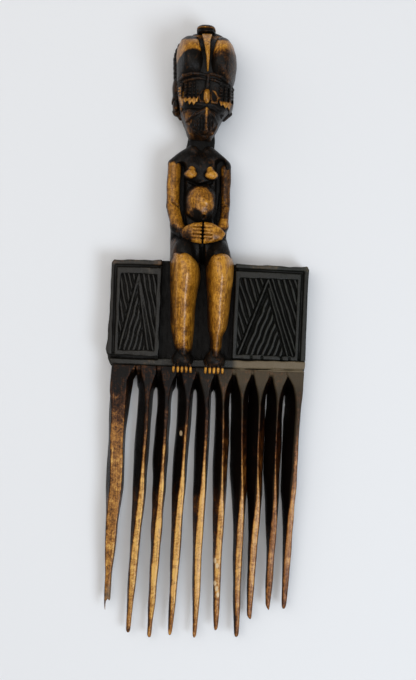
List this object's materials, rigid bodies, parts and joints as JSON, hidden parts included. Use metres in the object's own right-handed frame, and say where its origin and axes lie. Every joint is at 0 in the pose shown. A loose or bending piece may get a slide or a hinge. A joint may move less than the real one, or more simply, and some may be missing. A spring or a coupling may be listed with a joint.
{
  "type": "hair comb",
  "caption": "Hand-carved wooden hair comb with long teeth, a hatched board and a seated figure rising over it.",
  "frame": {"origin": "middle of the board's flat back face", "axes": "+X across the comb, +Y from the teeth towards the head, +Z out of the carved front"},
  "size_m": [0.0734, 0.2263, 0.0246],
  "materials": {
    "dark_wood": "semi-gloss dark patina",
    "worn_wood": "handled to a satin shine",
    "tooth_wood": "satin, worn along the grain"
  },
  "bodies": {
    "root": {"board": "dark_wood", "root_ledge": "dark_wood", "left_border": "dark_wood", "right_border": "dark_wood", "left_hatching": "dark_wood", "right_hatching": "dark_wood", "hips": "dark_wood", "torso": "dark_wood", "neck": "dark_wood", "head": "dark_wood", "hair_band": "dark_wood", "crest": "dark_wood", "left_ear": "dark_wood", "right_ear": "dark_wood", "left_foot": "worn_wood", "right_foot": "worn_wood", "left_leg": "worn_wood", "right_leg": "worn_wood", "left_breast": "worn_wood", "right_breast": "worn_wood", "left_arm": "worn_wood", "right_arm": "worn_wood", "left_hand": "worn_wood", "right_hand": "worn_wood", "left_forehead": "worn_wood", "right_forehead": "worn_wood", "forehead_ridge": "worn_wood", "brow": "worn_wood", "nose": "worn_wood", "left_cheek": "worn_wood", "right_cheek": "worn_wood", "mouth": "worn_wood", "tooth_01": "tooth_wood", "tooth_02": "tooth_wood", "tooth_03": "tooth_wood", "tooth_04": "tooth_wood", "tooth_05": "tooth_wood", "tooth_06": "tooth_wood", "tooth_07": "tooth_wood", "tooth_08": "tooth_wood", "tooth_09": "tooth_wood", "tooth_10": "tooth_wood"}
  },
  "joints": []
}
